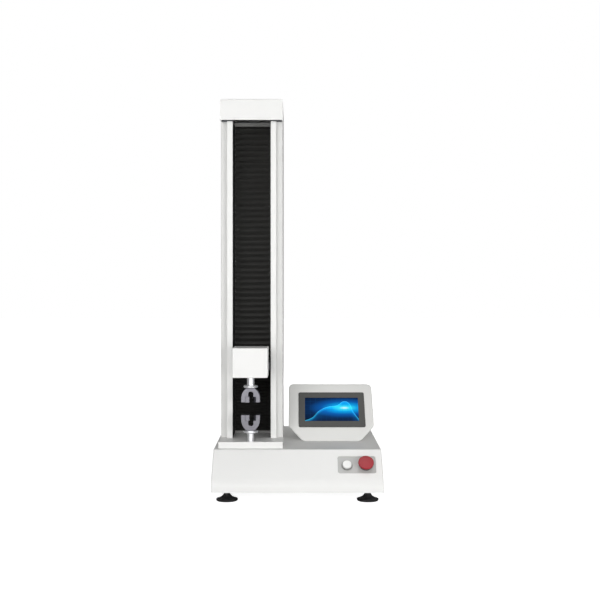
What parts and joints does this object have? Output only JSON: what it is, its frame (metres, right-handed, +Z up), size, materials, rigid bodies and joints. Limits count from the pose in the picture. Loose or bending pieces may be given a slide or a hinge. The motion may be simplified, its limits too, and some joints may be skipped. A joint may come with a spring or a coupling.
{
  "type": "universal testing machine",
  "caption": "Bench tensile tester with one column, a sliding crosshead over a bellows, two grips, a sloping base with buttons and a tilted touch display.",
  "frame": {"origin": "on the floor, under the middle of the base's footprint", "axes": "+X to the operator's right, -Y towards the operator, +Z up"},
  "size_m": [0.45, 0.53, 1.0775],
  "materials": {
    "white_paint": "satin powder coat",
    "grey_paint": "satin grey coat",
    "console_paint": "satin powder coat",
    "frame_steel": "plain steel",
    "bright_steel": "ground steel",
    "grip_steel": "satin nickel",
    "black_steel": "black oxide",
    "arm_aluminium": "anodised",
    "bar_paint": "dark anodised",
    "bellows_cloth": "coated cloth",
    "motor_black": "black coat",
    "belt_rubber": "moulded",
    "supply_case": "plain sheet",
    "board": "solder mask",
    "bezel_grey": "fine grain",
    "screen": "glass front, lit picture",
    "plate_grey": "satin grey",
    "white_plastic": "moulded",
    "grey_plastic": "moulded",
    "red_plastic": "moulded",
    "black_plastic": "moulded",
    "foot_rubber": "moulded"
  },
  "bodies": {
    "frame": {"base_shell": "white_paint", "base_frame": "frame_steel", "bottom_plate": "white_paint", "rear_panel": "white_paint", "foot_nuts": "black_steel", "bed_plate": "white_paint", "left_upright": "grey_paint", "right_upright": "grey_paint", "guide_strips": "white_paint", "back_plate": "frame_steel", "linear_rails": "bright_steel", "rear_cover": "white_paint", "head_plate": "frame_steel", "head_cap": "white_paint", "bottom_bearing_housing": "frame_steel", "screw_bearings": "bright_steel", "motor": "motor_black", "timing_belt": "belt_rubber", "power_supply": "supply_case", "controller_board": "board", "upper_bellows": "bellows_cloth", "lower_bellows": "bellows_cloth", "column_bellows_bars": "bar_paint", "lower_adapter": "bright_steel", "lower_grip_yoke": "grip_steel", "lower_fixed_insert": "black_steel", "console_front": "console_paint", "console_stand": "console_paint", "display_bezel": "bezel_grey", "display_screen": "screen", "control_plate": "plate_grey", "start_bezel": "white_plastic", "estop_collar": "grey_plastic", "power_inlet": "black_plastic"},
    "crosshead": {"crosshead_arm": "arm_aluminium", "crosshead_cover": "white_paint", "load_cell": "arm_aluminium", "carriage_plate": "arm_aluminium", "rail_blocks": "bright_steel", "ball_nut": "bright_steel", "carriage_bellows_bars": "bar_paint", "upper_adapter": "bright_steel", "upper_grip_yoke": "grip_steel", "upper_fixed_insert": "black_steel"},
    "drive_screw": {"ball_screw": "bright_steel"},
    "motor_rotor": {"motor_shaft": "bright_steel"},
    "upper_jaw": {"upper_moving_jaw": "grip_steel"},
    "upper_clamp_screw": {"upper_jaw_screw": "black_steel"},
    "lower_jaw": {"lower_moving_jaw": "grip_steel"},
    "lower_clamp_screw": {"lower_jaw_screw": "black_steel"},
    "upper_ring": {"upper_lock_ring": "bright_steel"},
    "lower_ring": {"lower_lock_ring": "bright_steel"},
    "start_plunger": {"start_button": "white_plastic"},
    "estop_plunger": {"estop_stem": "grey_plastic"},
    "estop_mushroom": {"estop_head": "red_plastic"},
    "mains_rocker": {"power_rocker": "black_plastic"},
    "foot_front_left": {"front_left_foot": "foot_rubber"},
    "foot_front_right": {"front_right_foot": "foot_rubber"},
    "foot_rear_left": {"rear_left_foot": "foot_rubber"},
    "foot_rear_right": {"rear_right_foot": "foot_rubber"}
  },
  "joints": [
    {"name": "crosshead_slide", "type": "slide", "parent": "frame", "child": "crosshead", "axis": [0, 0, 1], "range_m": [0, 0.48], "deforming": ["upper_bellows", "lower_bellows"]},
    {"name": "screw_spin", "type": "hinge", "parent": "frame", "child": "drive_screw", "pos_m": [-0.126, 0.054, 0.5], "axis": [0, 0, 1], "range_deg": [-10, 17400]},
    {"name": "motor_spin", "type": "hinge", "parent": "frame", "child": "motor_rotor", "pos_m": [-0.036, 0.054, 0.09], "axis": [0, 0, 1], "range_deg": [-20, 34800]},
    {"name": "upper_jaw_slide", "type": "slide", "parent": "crosshead", "child": "upper_jaw", "axis": [1, 0, 0], "range_m": [0, 0.0084]},
    {"name": "upper_clamp_turn", "type": "hinge", "parent": "crosshead", "child": "upper_clamp_screw", "pos_m": [-0.14, -0.154, 0.2575], "axis": [1, 0, 0], "range_deg": [-5, 1530]},
    {"name": "lower_jaw_slide", "type": "slide", "parent": "frame", "child": "lower_jaw", "axis": [1, 0, 0], "range_m": [0, 0.0084]},
    {"name": "lower_clamp_turn", "type": "hinge", "parent": "frame", "child": "lower_clamp_screw", "pos_m": [-0.14, -0.154, 0.2085], "axis": [1, 0, 0], "range_deg": [-5, 1530]},
    {"name": "upper_ring_turn", "type": "hinge", "parent": "crosshead", "child": "upper_ring", "pos_m": [-0.126, -0.154, 0.2922], "axis": [0, 0, 1], "continuous": true},
    {"name": "lower_ring_turn", "type": "hinge", "parent": "frame", "child": "lower_ring", "pos_m": [-0.126, -0.154, 0.1703], "axis": [0, 0, 1], "continuous": true},
    {"name": "start_press", "type": "slide", "parent": "frame", "child": "start_plunger", "axis": [0, 0.6864, -0.7273], "range_m": [0, 0.003], "stiffness_N_per_m": 400},
    {"name": "estop_press", "type": "slide", "parent": "frame", "child": "estop_plunger", "axis": [0, 0.6864, -0.7273], "range_m": [0, 0.004]},
    {"name": "estop_twist", "type": "hinge", "parent": "estop_plunger", "child": "estop_mushroom", "pos_m": [0.1806, -0.22354, 0.09062], "axis": [0, 0.6864, -0.7273], "range_deg": [0, 45]},
    {"name": "power_switch", "type": "hinge", "parent": "frame", "child": "mains_rocker", "pos_m": [0.137, 0.2594, 0.076], "axis": [1, 0, 0], "range_deg": [0, 14]},
    {"name": "foot_turn_front_left", "type": "hinge", "parent": "frame", "child": "foot_front_left", "pos_m": [-0.185, -0.228, 0.02], "axis": [0, 0, 1], "continuous": true},
    {"name": "foot_turn_front_right", "type": "hinge", "parent": "frame", "child": "foot_front_right", "pos_m": [0.185, -0.228, 0.02], "axis": [0, 0, 1], "continuous": true},
    {"name": "foot_turn_rear_left", "type": "hinge", "parent": "frame", "child": "foot_rear_left", "pos_m": [-0.185, 0.225, 0.02], "axis": [0, 0, 1], "continuous": true},
    {"name": "foot_turn_rear_right", "type": "hinge", "parent": "frame", "child": "foot_rear_right", "pos_m": [0.185, 0.225, 0.02], "axis": [0, 0, 1], "continuous": true}
  ],
  "couplings": [
    {"joint": "screw_spin", "follows": "crosshead_slide", "rad_per_m": 628.32},
    {"joint": "motor_spin", "follows": "crosshead_slide", "rad_per_m": 1256.6},
    {"joint": "upper_clamp_turn", "follows": "upper_jaw_slide", "rad_per_m": 3141.6},
    {"joint": "lower_clamp_turn", "follows": "lower_jaw_slide", "rad_per_m": 3141.6}
  ]
}
